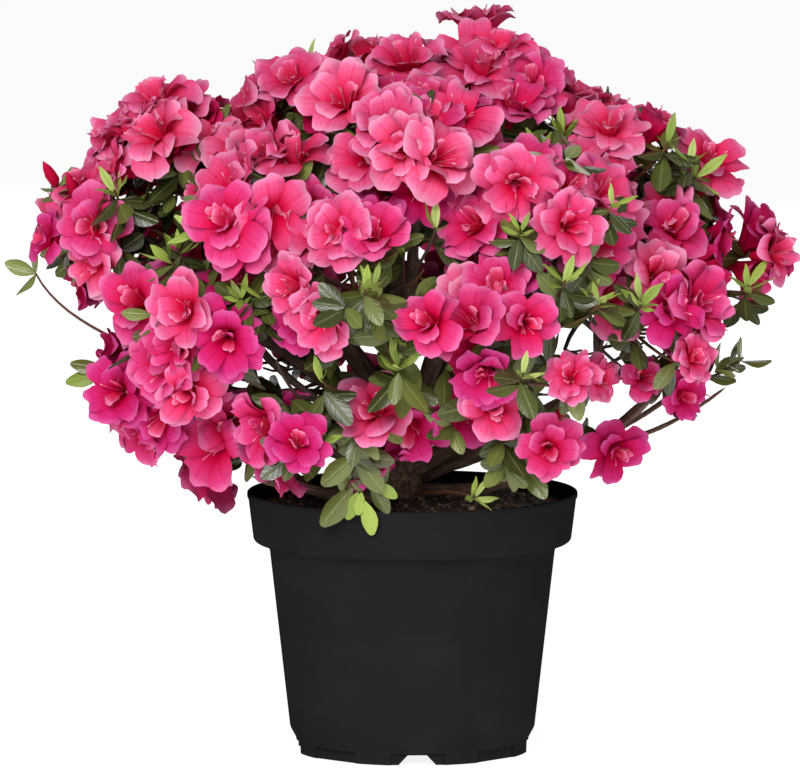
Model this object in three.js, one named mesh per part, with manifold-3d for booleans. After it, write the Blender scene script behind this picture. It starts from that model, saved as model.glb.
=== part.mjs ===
// Potted azalea: a plastic nursery pot, its compost, a short stem, boughs and masses of bloom.
// Millimetres, +Z up, origin on the pot's axis at the ground.
import * as THREE from "three";
import { mergeVertices } from "three/addons/utils/BufferGeometryUtils.js";
import Module from "manifold-3d";

const wasm = await Module();
wasm.setup();

// Pot
const potHeight = 150;
const rimRadius = 95;
const bandDrop = 28;
const bandFootRadius = 91.3;
const bodyTopRadius = 82.1;
const bodyFootRadius = 70.4;
const bodyFootHeight = 14;
const footHeight = 7.8;
const footRadius = 67;
const footInnerRadius = 59;
const wall = 2;
const floorHeight = 7;
const floorThickness = 2.4;
const notchCount = 8;
const notchTurn = THREE.MathUtils.degToRad(-87.5);
const notchWidth = 31;
const notchHeight = 6.8;
const notchDepth = 4;
const archTopWidth = 11;
const archFootWidth = 20;
const drainHoleRadius = 4.5;
const drainHoleReach = 44;
const potSegments = 36;

// Compost
const gap = 0.3;
const soilEdgeHeight = 139;
const soilCrownHeight = 147;
const soilCrownRadius = 36;

// Stem
const stemFoot = new THREE.Vector3(-9, -7, soilCrownHeight + gap);
const stemFork = new THREE.Vector3(-3, -4, 186);
const stemFootRadius = 13;
const stemForkRadius = 9.5;
const rootFlare = 10;
const flareHeight = 7;

// Crown: each mass is named, with its bearing (degrees, 0 = +X, 90 = +Y), its reach from the
// pot's axis, its height, and its half sizes outwards, sideways and up.
const crownMasses = [
  ["crest_right", 12, 51, 382, 48, 58, 52],
  ["crest_left", 146, 16, 374, 48, 60, 50],
  ["shoulder_left", 173, 70, 364, 43, 56, 51],
  ["shoulder_right", 2, 110, 343, 45, 56, 45],
  ["upper_left", 182, 140, 343, 48, 52, 47],
  ["upper_right", 4, 156, 322, 44, 52, 45],
  ["left", 182, 172, 303, 50, 52, 43],
  ["right", 354, 149, 291, 50, 54, 48],
  ["right_tip", 0, 200, 287, 25, 24, 23],
  ["lower_left", 184, 152, 214, 49, 49, 41],
  ["lower_right", 356, 138, 219, 38, 45, 34],
  ["skirt_left", 188, 103, 180, 43, 47, 29],
  ["skirt_right", 348, 95, 184, 40, 47, 33],
  ["front_crest", 272, 85, 359, 52, 56, 46],
  ["front_upper_left", 231, 121, 327, 52, 54, 48],
  ["front_upper_right", 309, 121, 318, 52, 54, 46],
  ["front_left", 216, 139, 258, 52, 52, 44],
  ["front", 262, 152, 284, 50, 56, 48],
  ["front_right", 294, 147, 256, 49, 52, 46],
  ["front_far_right", 329, 149, 264, 47, 49, 41],
  ["skirt_front_left", 244, 109, 203, 47, 54, 46],
  ["skirt_front_right", 301, 105, 198, 49, 54, 46],
  ["back_crest", 84, 87, 357, 52, 56, 46],
  ["back_upper_left", 131, 123, 323, 52, 56, 48],
  ["back_upper_right", 46, 125, 318, 52, 54, 46],
  ["back_left", 146, 151, 256, 52, 52, 44],
  ["back", 98, 144, 272, 50, 56, 48],
  ["back_right", 66, 149, 254, 50, 52, 44],
  ["back_far_right", 29, 149, 256, 47, 49, 39],
  ["skirt_back_left", 122, 113, 198, 48, 56, 39],
  ["skirt_back_right", 62, 113, 194, 48, 56, 37],
];
const unevenness = 0.21;
const bumpCount = 9;
const bumpTightness = 4.5;
const massDetail = 3;
const massGap = 0.5;
const skirtHeight = potHeight + 1.5;

// Boughs: name, mass that it grows into, height on the stem, root radius, and lift of its middle.
const boughs = [
  ["bough_crest_left", "crest_left", 184, 8, 0],
  ["bough_crest_right", "crest_right", 182, 7.5, -6],
  ["bough_upper_left", "upper_left", 176, 7.5, 10],
  ["bough_upper_right", "upper_right", 176, 7.5, -16],
  ["bough_left_low", "skirt_left", 159, 8, 3],
  ["bough_right_low", "skirt_right", 157, 7, 4],
  ["bough_left", "lower_left", 167, 7, 6],
  ["bough_right", "lower_right", 166, 6.5, -6],
  ["bough_front_left", "front_left", 171, 6.5, 8],
  ["bough_front_right", "front_right", 172, 6.5, 8],
  ["bough_back_left", "back_left", 169, 6.5, 8],
  ["bough_back_right", "back_right", 170, 6.5, 8],
  ["bough_front", "front_crest", 180, 6, 4],
  ["bough_back", "back_crest", 180, 6, 4],
];
const boughTaper = 0.42;
const boughSides = 6;
const boughSteps = 5;

// Thin shoots that stand out of the crown: name, start, end, bend of the middle.
const shoots = [
  ["shoot_left", [-180, -8, 224], [-219, -2, 263], [-10, 0, 7]],
  ["shoot_right", [160, -12, 216], [188, -6, 226], [0, 0, -5]],
];
const shootRadius = 1.3;
// Tufts on their ends: name, centre, half sizes.
const tufts = [
  ["tuft_left", [-221, -2, 267], [10, 9, 5]],
  ["tuft_right", [191, -6, 229], [10, 9, 7]],
];

const materials = {
  pot: { color: "#2b2b2c", roughness: 0.45, metalness: 0 },
  soil: { color: "#231710", roughness: 1, metalness: 0 },
  wood: { color: "#4b382c", roughness: 0.9, metalness: 0 },
  bloom: { color: "#dd4282", roughness: 0.6, metalness: 0 },
  leaf: { color: "#5f6b33", roughness: 0.5, metalness: 0 },
};

const plant = new THREE.Group();

function add(name, geometry, kind) {
  const mesh = new THREE.Mesh(geometry, new THREE.MeshStandardMaterial(materials[kind]));
  mesh.name = name;
  plant.add(mesh);
}

// A closed geometry as a solid: corners merged, and slivers on an axis dropped.
function solidOf(geometry) {
  const bare = geometry.clone();
  bare.deleteAttribute("normal");
  bare.deleteAttribute("uv");
  const merged = mergeVertices(bare, 1e-3);
  const corners = merged.index.array;
  const faces = [];
  for (let i = 0; i < corners.length; i += 3) {
    const [a, b, c] = corners.slice(i, i + 3);
    if (a !== b && b !== c && c !== a) {
      faces.push(a, b, c);
    }
  }
  const vertProperties = new Float32Array(merged.attributes.position.array);
  return new wasm.Manifold(
    new wasm.Mesh({ numProp: 3, vertProperties, triVerts: new Uint32Array(faces) }),
  );
}

function geometryOf(solid) {
  const mesh = solid.getMesh();
  const geometry = new THREE.BufferGeometry();
  geometry.setAttribute("position", new THREE.BufferAttribute(mesh.vertProperties, 3));
  geometry.setIndex(new THREE.BufferAttribute(mesh.triVerts, 1));
  geometry.computeVertexNormals();
  return geometry;
}

function largestBody(solid) {
  const bodies = solid.decompose();
  bodies.sort((a, b) => b.volume() - a.volume());
  return bodies[0];
}

// A profile of [radius, height] pairs turned round the Z axis.
function turned(profile, segments) {
  const points = profile.map(([radius, height]) => new THREE.Vector2(radius, height));
  const geometry = new THREE.LatheGeometry(points, segments);
  geometry.rotateX(Math.PI / 2);
  return solidOf(geometry);
}

// Repeatable numbers from 0 to 1.
function seeded(seed) {
  let state = seed * 2654435761 >>> 0;
  return () => {
    state = (state * 1664525 + 1013904223) >>> 0;
    return state / 4294967296;
  };
}

function makePot() {
  const innerTop = rimRadius - wall - 0.6;
  const profile = [
    [0, floorHeight],
    [footInnerRadius, floorHeight],
    [footInnerRadius, 0],
    [footRadius - 0.2, 0],
    [footRadius, footHeight],
    [bodyFootRadius, bodyFootHeight],
    [bodyTopRadius, potHeight - bandDrop - 5],
    [bodyTopRadius + 2, potHeight - bandDrop - 2.6],
    [bandFootRadius, potHeight - bandDrop],
    [rimRadius - 0.6, potHeight - 3.5],
    [rimRadius, potHeight - 2.5],
    [rimRadius, potHeight],
    [innerTop, potHeight],
    [innerTop - 2.4, potHeight - bandDrop + 2],
    [bodyTopRadius - wall, potHeight - bandDrop - 5],
    [bodyFootRadius - wall, bodyFootHeight],
    [bodyFootRadius - wall - 4, floorHeight + floorThickness],
    [0, floorHeight + floorThickness],
  ];
  let pot = turned(profile, potSegments);
  for (let i = 0; i < notchCount; i += 1) {
    const turn = notchTurn + (i * 2 * Math.PI) / notchCount;
    const notch = new THREE.BoxGeometry(notchDepth * 2, notchWidth, notchHeight * 2);
    notch.translate(footRadius + 0.5, 0, 0);
    notch.rotateZ(turn);
    const arch = new THREE.Shape([
      new THREE.Vector2(-archFootWidth / 2, -1),
      new THREE.Vector2(archFootWidth / 2, -1),
      new THREE.Vector2(archTopWidth / 2, notchHeight - 1.2),
      new THREE.Vector2(-archTopWidth / 2, notchHeight - 1.2),
    ]);
    const passage = new THREE.ExtrudeGeometry(arch, { depth: 14, bevelEnabled: false });
    passage.rotateX(Math.PI / 2);
    passage.rotateZ(Math.PI / 2);
    passage.translate(footInnerRadius - 4, 0, 0);
    passage.rotateZ(turn);
    const hole = new THREE.CylinderGeometry(drainHoleRadius, drainHoleRadius, 12, 8);
    hole.rotateX(Math.PI / 2);
    hole.translate(drainHoleReach, 0, floorHeight + 1);
    hole.rotateZ(turn);
    for (const tool of [notch, passage, hole]) {
      pot = pot.subtract(solidOf(tool));
    }
  }
  return pot;
}

function makeSoil() {
  const bottom = floorHeight + floorThickness + gap;
  const skin = wall + gap;
  return turned([
    [0, bottom],
    [bodyFootRadius - skin - 4, bottom],
    [bodyFootRadius - skin, bodyFootHeight],
    [bodyTopRadius - skin, potHeight - bandDrop - 5],
    [rimRadius - skin - 3, potHeight - bandDrop + 2],
    [rimRadius - skin - 1.9, soilEdgeHeight],
    [soilCrownRadius, soilCrownHeight],
    [0, soilCrownHeight],
  ], potSegments);
}

// A closed limb along a curve, its radius given by the share of the way along.
function limb(points, radiusAt, sides, steps) {
  const curve = new THREE.CatmullRomCurve3(points, false, "centripetal");
  const chord = points[points.length - 1].clone().sub(points[0]).normalize();
  const side = Math.abs(chord.z) < 0.8 ? new THREE.Vector3(0, 0, 1) : new THREE.Vector3(1, 0, 0);
  const geometry = new THREE.CylinderGeometry(1, 1, 1, sides, steps);
  const position = geometry.attributes.position;
  for (let i = 0; i < position.count; i += 1) {
    const along = position.getY(i) + 0.5;
    const centre = curve.getPointAt(along);
    const tangent = curve.getTangentAt(along);
    const right = new THREE.Vector3().crossVectors(tangent, side).normalize();
    const up = new THREE.Vector3().crossVectors(right, tangent);
    const radius = radiusAt(along);
    centre.addScaledVector(right, position.getX(i) * radius);
    centre.addScaledVector(up, position.getZ(i) * radius);
    position.setXYZ(i, centre.x, centre.y, centre.z);
  }
  return solidOf(geometry);
}

// The stem leans from a flared foot, cut flat where it meets the compost, to its fork.
function makeStem(extra) {
  const middle = stemFoot.clone().lerp(stemFork, 0.5).add(new THREE.Vector3(-3, 1, 0));
  const length = stemFoot.distanceTo(stemFork);
  const radiusAt = (along) => {
    const taper = THREE.MathUtils.lerp(stemFootRadius, stemForkRadius, along);
    return taper + rootFlare * Math.exp((-along * length) / flareHeight) + extra;
  };
  const below = stemFoot.clone().add(new THREE.Vector3(0, 0, -4));
  const column = limb([below, stemFoot, middle, stemFork], radiusAt, 11, 8);
  return column.trimByPlane([0, 0, 1], stemFoot.z - extra);
}

// The stem's axis at a height.
function stemPoint(height) {
  const along = (height - stemFoot.z) / (stemFork.z - stemFoot.z);
  return stemFoot.clone().lerp(stemFork, along);
}

// A lump: a sphere stretched to its half sizes, with broad bumps and dips.
function lump(centre, halfSizes, seed, extra, detail) {
  const random = seeded(seed);
  const bumps = [];
  for (let i = 0; i < bumpCount; i += 1) {
    const direction = new THREE.Vector3(random() - 0.5, random() - 0.5, random() - 0.5);
    bumps.push([direction.normalize(), (random() * 2 - 1) * unevenness]);
  }
  const geometry = new THREE.OctahedronGeometry(1, detail);
  const position = geometry.attributes.position;
  const direction = new THREE.Vector3();
  for (let i = 0; i < position.count; i += 1) {
    direction.fromBufferAttribute(position, i).normalize();
    let swell = 1;
    for (const [towards, height] of bumps) {
      swell += height * Math.exp(bumpTightness * (direction.dot(towards) - 1));
    }
    const point = direction.clone().multiply(halfSizes).multiplyScalar(swell);
    point.addScaledVector(direction, extra).add(centre);
    position.setXYZ(i, point.x, point.y, point.z);
  }
  return solidOf(geometry);
}

// How far a lump reaches in a direction.
function reachOf(halfSizes, direction) {
  return 1 / direction.clone().divide(halfSizes).length();
}

const masses = crownMasses.map(([name, bearing, reach, height, out, sideways, up], index) => {
  const turn = THREE.MathUtils.degToRad(bearing);
  const centre = new THREE.Vector3(reach * Math.cos(turn), reach * Math.sin(turn), height);
  const spread = Math.abs(Math.cos(turn));
  const halfSizes = new THREE.Vector3(
    THREE.MathUtils.lerp(sideways, out, spread),
    THREE.MathUtils.lerp(out, sideways, spread),
    up,
  );
  return { name, centre, halfSizes, seed: index + 1 };
});

// A mass with its sides cut flat where it meets its neighbours, and its foot above the rim.
function makeMass(mass, extra, space) {
  let solid = lump(mass.centre, mass.halfSizes, mass.seed, extra, massDetail);
  for (const other of masses) {
    const away = other.centre.clone().sub(mass.centre);
    const distance = away.length();
    if (other === mass) {
      continue;
    }
    away.normalize();
    const own = reachOf(mass.halfSizes, away);
    const theirs = reachOf(other.halfSizes, away);
    if (distance < (own + theirs) * (1 + unevenness)) {
      const meeting = away.dot(mass.centre) + (distance * own) / (own + theirs);
      solid = solid.trimByPlane([-away.x, -away.y, -away.z], -meeting + space / 2);
    }
  }
  return largestBody(solid.trimByPlane([0, 0, 1], skirtHeight - extra));
}

// A bough from the stem's axis towards a mass.
function makeBough([, target, height, radius, lift], extra) {
  const goal = masses.find((mass) => mass.name === target);
  const start = stemPoint(height);
  const end = start.clone().lerp(goal.centre, 0.94);
  const middle = start.clone().lerp(end, 0.5).add(new THREE.Vector3(0, 0, lift));
  const radiusAt = (along) => radius * THREE.MathUtils.lerp(1, boughTaper, along) + extra;
  return limb([start, middle, end], radiusAt, boughSides, boughSteps);
}

function makeShoot([, start, end, bend], extra) {
  const from = new THREE.Vector3(...start);
  const to = new THREE.Vector3(...end);
  const middle = from.clone().lerp(to, 0.5).add(new THREE.Vector3(...bend));
  const radiusAt = (along) => shootRadius * (1 - 0.3 * along) + extra;
  return limb([from, middle, to], radiusAt, 6, 6);
}

add("pot", geometryOf(makePot()), "pot");
add("soil", geometryOf(makeSoil()), "soil");
add("main_stem", geometryOf(makeStem(0)), "wood");

// Wood that is already in place, a little swollen, is cut from each new limb.
const inTheWay = [makeStem(gap)];
for (const mass of masses) {
  add(mass.name, geometryOf(makeMass(mass, 0, massGap)), "bloom");
  inTheWay.push(makeMass(mass, gap, -gap));
}
for (const bough of boughs) {
  let solid = makeBough(bough, 0);
  for (const obstacle of inTheWay) {
    solid = solid.subtract(obstacle);
  }
  add(bough[0], geometryOf(largestBody(solid)), "wood");
  inTheWay.push(makeBough(bough, gap));
}
for (const shoot of shoots) {
  let solid = makeShoot(shoot, 0);
  for (const obstacle of inTheWay) {
    solid = solid.subtract(obstacle);
  }
  add(shoot[0], geometryOf(largestBody(solid)), "wood");
  inTheWay.push(makeShoot(shoot, gap));
}
for (const [name, centre, halfSizes] of tufts) {
  let solid = lump(new THREE.Vector3(...centre), new THREE.Vector3(...halfSizes), 7, 0, 1);
  for (const obstacle of inTheWay) {
    solid = solid.subtract(obstacle);
  }
  add(name, geometryOf(largestBody(solid)), "leaf");
}

export default plant;
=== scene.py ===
import math
import random
from collections import namedtuple

import bmesh
import bpy
import numpy as np
from mathutils import Matrix, Vector, noise
from mathutils.bvhtree import BVHTree


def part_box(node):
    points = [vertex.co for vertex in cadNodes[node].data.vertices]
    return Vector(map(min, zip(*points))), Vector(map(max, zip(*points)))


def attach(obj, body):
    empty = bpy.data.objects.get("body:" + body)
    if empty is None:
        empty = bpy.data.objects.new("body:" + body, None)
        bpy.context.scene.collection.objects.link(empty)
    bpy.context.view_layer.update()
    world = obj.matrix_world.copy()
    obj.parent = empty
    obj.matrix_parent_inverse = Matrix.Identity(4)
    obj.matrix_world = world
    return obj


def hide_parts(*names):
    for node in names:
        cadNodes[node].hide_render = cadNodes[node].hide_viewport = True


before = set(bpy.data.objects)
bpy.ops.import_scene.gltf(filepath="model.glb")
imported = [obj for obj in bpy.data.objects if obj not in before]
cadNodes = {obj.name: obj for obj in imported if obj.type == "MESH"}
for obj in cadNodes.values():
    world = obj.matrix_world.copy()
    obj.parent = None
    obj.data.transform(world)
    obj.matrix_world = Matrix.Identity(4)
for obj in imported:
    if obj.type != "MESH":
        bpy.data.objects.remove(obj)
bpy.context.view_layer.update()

mm = 0.001
up = Vector((0, 0, 1))
fullTurn = 6.28

massNames = [name for name in cadNodes if name.startswith((
    "crest", "shoulder", "upper", "left", "right", "lower", "skirt", "front", "back"))]
boughNames = [name for name in cadNodes if name.startswith("bough")]
print("frame loaded:", len(massNames), "masses,", len(boughNames), "boughs")


class Wire:
    # a socket whose value can be used in sums
    def __init__(self, finish, socket):
        self.finish = finish
        self.socket = socket

    def combine(self, operation, first, second):
        return self.finish.add("Math", {"operation": operation}, {0: first, 1: second})

    def apply(self, operation):
        return self.finish.add("Math", {"operation": operation}, {0: self})

    def __add__(self, other):
        return self.combine("ADD", self, other)

    def __radd__(self, other):
        return self.combine("ADD", other, self)

    def __sub__(self, other):
        return self.combine("SUBTRACT", self, other)

    def __rsub__(self, other):
        return self.combine("SUBTRACT", other, self)

    def __mul__(self, other):
        return self.combine("MULTIPLY", self, other)

    def __rmul__(self, other):
        return self.combine("MULTIPLY", other, self)


class Finish:
    def __init__(self, name):
        self.material = bpy.data.materials.new(name)
        self.material.use_nodes = True
        self.tree = self.material.node_tree
        self.tree.nodes.clear()

    def add(self, kind, settings=None, sockets=None, output=0):
        node = self.tree.nodes.new("ShaderNode" + kind)
        for key, value in (settings or {}).items():
            if key == "stops":
                self.setStops(node.color_ramp, value)
            elif key == "interpolation" and kind == "ValToRGB":
                node.color_ramp.interpolation = value
            else:
                setattr(node, key, value)
        for key, value in (sockets or {}).items():
            if isinstance(value, Wire):
                self.tree.links.new(value.socket, node.inputs[key])
            else:
                node.inputs[key].default_value = value
        return Wire(self, node.outputs[output]) if node.outputs else None

    def setStops(self, ramp, stops):
        while len(ramp.elements) > 1:
            ramp.elements.remove(ramp.elements[-1])
        ramp.elements[0].position = stops[0][0]
        ramp.elements[0].color = stops[0][1]
        for position, color in stops[1:]:
            ramp.elements.new(position).color = color

    def ramp(self, value, stops, interpolation="LINEAR"):
        return self.add("ValToRGB", {"interpolation": interpolation, "stops": stops}, {0: value})

    def between(self, value, low, high):
        # 0 below low, 1 above high, smooth in between
        return self.add("MapRange", {"interpolation_type": "SMOOTHSTEP"},
                        {"Value": value, "From Min": low, "From Max": high})

    def blend(self, share, first, second):
        return self.add("Mix", {"data_type": "RGBA"}, {0: share, 6: first, 7: second}, output=2)

    def grain(self, where, scale, detail=3.0, rough=0.55):
        return self.add("TexNoise", None, {"Vector": where, "Scale": scale, "Detail": detail,
                                           "Roughness": rough})

    def finishWith(self, color, roughness, bump=None, bumpHeight=0.001, **fixed):
        sockets = {"Base Color": color, "Roughness": roughness}
        sockets.update(fixed)
        if bump is not None:
            sockets["Normal"] = self.add("Bump", None, {"Height": bump, "Distance": bumpHeight,
                                                        "Strength": 1.0})
        shader = self.add("BsdfPrincipled", None, sockets)
        self.add("OutputMaterial", None, {"Surface": shader})
        return self.material


def tone(red, green, blue):
    # screen colour, 0 to 255, as the shader's linear colour
    def channel(value):
        value = value / 255
        return value / 12.92 if value <= 0.04045 else ((value + 0.055) / 1.055) ** 2.4
    return (channel(red), channel(green), channel(blue), 1.0)


def tones(*colors):
    return [tone(*color) for color in colors]


def swatchPlace(finish, columns):
    # the swatch map: a column for each tint, its own share across, and the share along
    place = finish.add("UVMap", {"uv_map": "OFBake"})
    split = finish.add("SeparateXYZ", None, {0: place})
    along = Wire(finish, split.socket.node.outputs[1])
    across = (split * columns).apply("FRACT")
    return split, across, along


def columnStops(colors):
    return [(index / len(colors), color) for index, color in enumerate(colors)]


def swatched(name, colors):
    # a finish whose tint is picked by the swatch map's column
    finish = Finish(name)
    split, across, along = swatchPlace(finish, len(colors))
    return finish, finish.ramp(split, columnStops(colors), "CONSTANT"), across, along


def place(piece, slot, replaced=()):
    if piece.name not in bpy.context.scene.collection.objects:
        bpy.context.scene.collection.objects.link(piece)
    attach(piece, "root")
    if replaced:
        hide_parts(*replaced)
    return piece


class Heap:
    # collects copies of small shapes until they are joined
    def __init__(self, columns):
        self.columns = columns
        self.points = []
        self.faces = []
        self.swatches = []
        self.count = 0

    def put(self, shape, matrix, column):
        points, faces, spots = shape
        self.points.append(points @ np.array(matrix.to_3x3()).T + np.array(matrix.translation))
        self.faces.append(faces + self.count)
        across = (column + 0.1 + 0.8 * spots[:, 0]) / self.columns
        self.swatches.append(np.stack([across, 0.02 + 0.96 * spots[:, 1]], axis=1))
        self.count += len(points)

    def putBent(self, rod, path, radii, column):
        self.put(bent(rod, path, radii)[:3], Matrix.Identity(4), column)

    def joined(self, name, material, slot, replaced=()):
        # all faces of a heap have as many corners as each other
        points, faces, swatches = map(np.concatenate, (self.points, self.faces, self.swatches))
        mesh = bpy.data.meshes.new(name)
        mesh.vertices.add(len(points))
        mesh.vertices.foreach_set("co", points.astype(np.float32).ravel())
        mesh.loops.add(faces.size)
        mesh.loops.foreach_set("vertex_index", faces.astype(np.int32).ravel())
        mesh.polygons.add(len(faces))
        mesh.polygons.foreach_set("loop_start", np.arange(0, faces.size, faces.shape[1], dtype=np.int32))
        mesh.update(calc_edges=True)
        mesh.validate()
        mesh.polygons.foreach_set("use_smooth", np.ones(len(mesh.polygons), bool))
        layer = mesh.uv_layers.new(name="OFBake")
        order = np.zeros(len(mesh.loops), np.int32)
        mesh.loops.foreach_get("vertex_index", order)
        layer.data.foreach_set("uv", swatches[order].astype(np.float32).ravel())
        mesh.materials.append(material)
        print(" ", name, len(mesh.polygons), "faces")
        return place(bpy.data.objects.new(name, mesh), slot, replaced)


def shapeArrays(bm, spots):
    # points, faces and map places; spots gives each vertex its share across and along
    bm.verts.index_update()
    points = np.array([vertex.co for vertex in bm.verts])
    faces = np.array([[vertex.index for vertex in face.verts] for face in bm.faces])
    places = np.array([spots[vertex] for vertex in bm.verts])
    bm.free()
    return points, faces, places


def shapedGrid(across, along, shape):
    # a flat grid, each vertex moved by shape(share across from -1 to 1, share along)
    bm = bmesh.new()
    bmesh.ops.create_grid(bm, x_segments=across, y_segments=along, size=1)
    spots = {}
    for vertex in bm.verts:
        side, share = vertex.co.x, (vertex.co.y + 1) / 2
        spots[vertex] = ((side + 1) / 2, share)
        vertex.co = shape(side, share)
    return shapeArrays(bm, spots)


def spun(profile, turns):
    # a profile of (radius, height) turned round Z
    bm = bmesh.new()
    corners = [bm.verts.new((radius, 0, height)) for radius, height in profile]
    edges = [bm.edges.new(pair) for pair in zip(corners, corners[1:])]
    bmesh.ops.spin(bm, geom=corners + edges, cent=(0, 0, 0), axis=(0, 0, 1), angle=2 * math.pi,
                   steps=turns, use_merge=True)
    bmesh.ops.remove_doubles(bm, verts=bm.verts, dist=0.001)
    return bm


def meshFrom(bm, name, scale=mm):
    bmesh.ops.scale(bm, vec=(scale, scale, scale), verts=bm.verts)
    mesh = bpy.data.meshes.new(name)
    bm.to_mesh(mesh)
    bm.free()
    return mesh


def openRod(sides, steps):
    # a tube round Z as angles and shares, for bending along paths
    bm = bmesh.new()
    bmesh.ops.create_cone(bm, segments=sides, radius1=1, radius2=1, depth=1)
    uprights = [edge for edge in bm.edges if abs(edge.verts[0].co.z - edge.verts[1].co.z) > 0.5]
    bmesh.ops.subdivide_edges(bm, edges=uprights, cuts=steps - 1, use_grid_fill=True)
    bm.verts.index_update()
    angles = np.array([math.atan2(vertex.co.y, vertex.co.x) % (2 * math.pi) for vertex in bm.verts])
    shares = np.array([vertex.co.z + 0.5 for vertex in bm.verts])
    faces = np.array([[vertex.index for vertex in face.verts] for face in bm.faces])
    bm.free()
    return angles, shares, faces


def bent(rod, path, radii):
    # a rod laid on a path of centres: points, faces, map places, and the centre of each point
    angles, shares, faces = rod
    steps = shares * (len(path) - 1)
    low = np.minimum(steps.astype(int), len(path) - 2)
    part = (steps - low)[:, None]
    centre = path[low] * (1 - part) + path[low + 1] * part
    radius = np.interp(shares, np.linspace(0, 1, len(radii)), radii)[:, None]
    lean = path[-1] - path[0]
    lean = lean / (np.linalg.norm(lean) + 1e-9)
    side = np.cross(lean, (0.0, 0.0, 1.0) if abs(lean[2]) < 0.8 else (1.0, 0.0, 0.0))
    side = side / np.linalg.norm(side)
    rise = np.cross(side, lean)
    ring = np.cos(angles)[:, None] * side + np.sin(angles)[:, None] * rise
    spots = np.stack([angles / (2 * math.pi), shares], axis=1)
    return centre + ring * radius, faces, spots, centre


def bentPath(points, steps):
    # a smooth path through control points
    points = [Vector(point) for point in points]
    path = []
    for index in range(steps + 1):
        share = index / steps
        level = points
        while len(level) > 1:
            level = [first.lerp(second, share) for first, second in zip(level, level[1:])]
        path.append(level[0])
    return np.array(path)


def aimed(direction, twist, size, spot):
    # a matrix that stands a shape's +Z along a direction, turned about it
    turn = Vector(direction).to_track_quat("Z", "Y").to_matrix().to_4x4()
    return Matrix.Translation(spot) @ turn @ Matrix.Rotation(twist, 4, "Z") @ Matrix.Scale(size, 4)


potPlan = dict(rim=95.0, height=150.0, bandDrop=28.0, bandFoot=91.3, bodyTop=82.1, bodyFoot=70.4,
               bodyFootHeight=14.0, footHeight=7.8, foot=67.0, footInner=59.0, wall=2.0,
               floor=7.0, floorThickness=2.4, turns=144, notches=8, firstNotch=-87.5,
               notchWidth=31.0, notchHeight=6.8, archTop=11.0, archFoot=20.0, hole=4.5, holeReach=44.0)


def plasticFinish():
    finish = Finish("blackPotPlastic")
    spot = finish.add("TexCoord", output=3)
    cloud = finish.grain(spot, 24.0, 4.0)
    fine = finish.grain(spot, 900.0, 2.0)
    dust = finish.between(cloud, 0.42, 0.75)
    color = finish.blend(dust * 0.5, tone(33, 33, 34), tone(42, 41, 41))
    return finish.finishWith(color, 0.5 + cloud * 0.14, fine * 0.5 + cloud * 0.2, 0.00012,
                             **{"Specular IOR Level": 0.0})


def cutterMesh(plan):
    # the eight notches, the arches behind them and the drain holes, as one cutter
    bm = bmesh.new()
    for index in range(plan["notches"]):
        turn = Matrix.Rotation(math.radians(plan["firstNotch"] + index * 45), 4, "Z")
        notch = Matrix.Translation((plan["foot"] + 0.5, 0, 0)) @ Matrix.Diagonal(
            (8, plan["notchWidth"], plan["notchHeight"] * 2, 1))
        bmesh.ops.create_cube(bm, size=1, matrix=turn @ notch)
        if index % 2 == 0:
            # every other notch has an arch that goes right through the foot
            arch = bmesh.ops.create_cube(bm, size=1, matrix=Matrix.Translation(
                (plan["footInner"] + 3, 0, 0)) @ Matrix.Diagonal(
                (14, plan["archTop"], (plan["notchHeight"] - 1.2) * 2, 1)))["verts"]
            for vertex in arch:
                if vertex.co.z < 0:
                    vertex.co.y *= plan["archFoot"] / plan["archTop"] * 1.6
            bmesh.ops.transform(bm, matrix=turn, verts=arch)
        bmesh.ops.create_cone(bm, cap_ends=True, segments=24, radius1=plan["hole"],
                              radius2=plan["hole"], depth=12,
                              matrix=turn @ Matrix.Translation((plan["holeReach"], 0, plan["floor"])))
    return bpy.data.objects.new("potCutter", meshFrom(bm, "potCutter"))


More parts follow.
